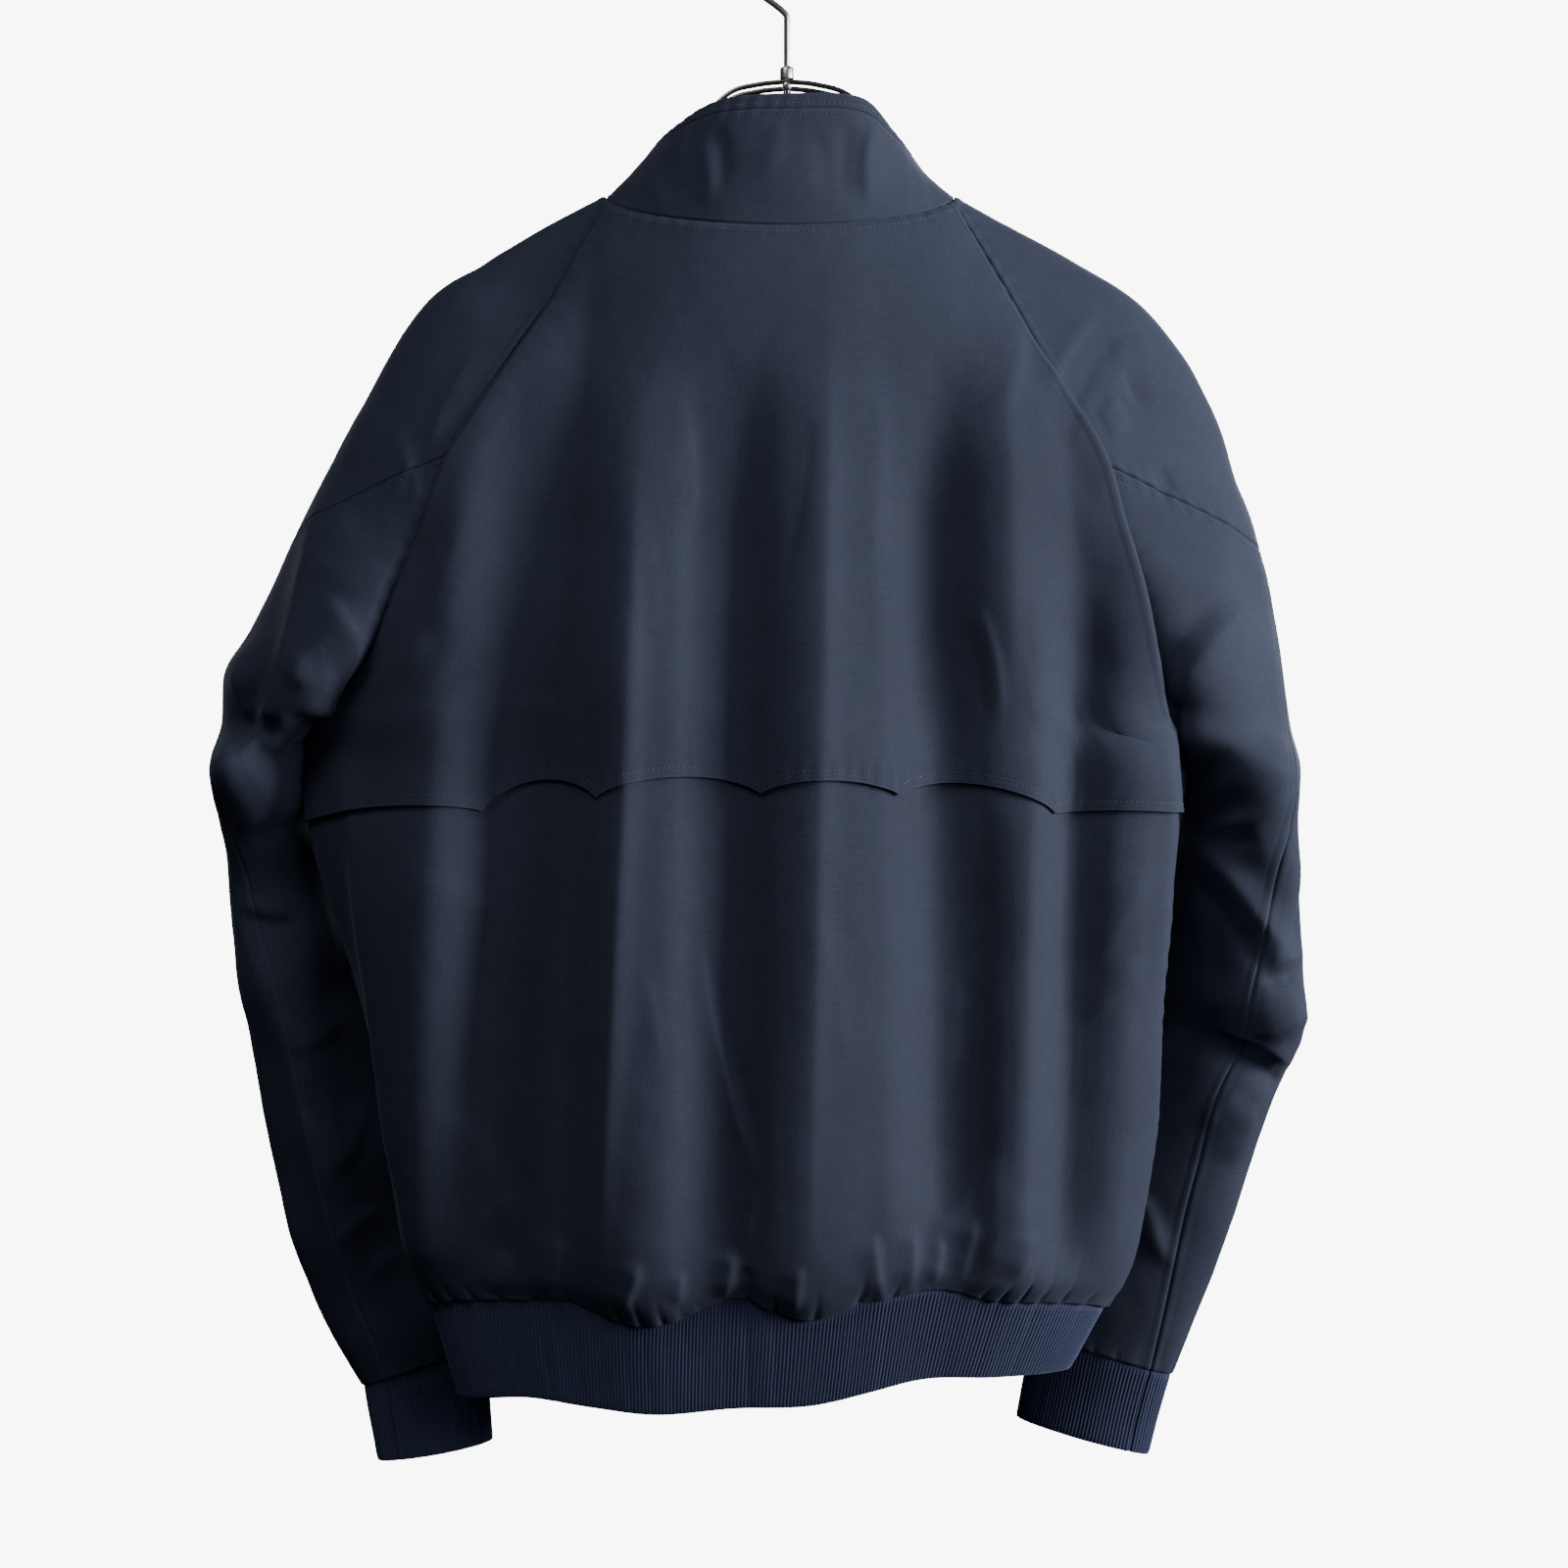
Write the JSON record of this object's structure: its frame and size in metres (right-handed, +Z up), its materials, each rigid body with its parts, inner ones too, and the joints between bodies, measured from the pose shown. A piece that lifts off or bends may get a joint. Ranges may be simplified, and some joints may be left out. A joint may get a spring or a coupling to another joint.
{
  "type": "harrington jacket",
  "caption": "Zip-fronted harrington jacket with raglan sleeves, stand collar, scalloped back yoke and knit ribs, hung on a wire hanger.",
  "frame": {"origin": "inner crest of the hanger's hook, where a rail or peg holds it", "axes": "+Z up, -Y out of the jacket's back, +Y out of its zipped front, +X to the wearer's right"},
  "size_m": [0.6392, 0.201, 0.9237],
  "materials": {
    "shell_cloth": "tight plain-weave cotton blend with a slight sheen",
    "rib_knit": "fine ribbed knit, matte",
    "zip_tape": "woven tape, matte",
    "zip_metal": "aged, satin",
    "hanger_steel": "satin plated steel",
    "hanger_wire": "dark plated wire"
  },
  "bodies": {
    "jacket": {"back": "shell_cloth", "back_yoke": "shell_cloth", "left_front": "shell_cloth", "right_front": "shell_cloth", "left_sleeve_top": "shell_cloth", "left_sleeve_under": "shell_cloth", "right_sleeve_top": "shell_cloth", "right_sleeve_under": "shell_cloth", "collar": "shell_cloth", "collar_edge": "shell_cloth", "hem_rib": "rib_knit", "left_cuff": "rib_knit", "right_cuff": "rib_knit", "zip_tapes": "zip_tape", "zip_chain": "zip_metal", "zip_slider": "zip_metal", "hanger_hook": "hanger_steel", "hanger_ferrule": "hanger_steel", "hanger_bolt": "hanger_steel", "hanger_frame": "hanger_wire"},
    "pull_tab": {"zip_pull": "zip_metal"}
  },
  "joints": [
    {"name": "pull_swing", "type": "hinge", "parent": "jacket", "child": "pull_tab", "pos_m": [0, 0.07335, -0.281], "axis": [1, 0, 0], "range_deg": [0, 150]}
  ]
}
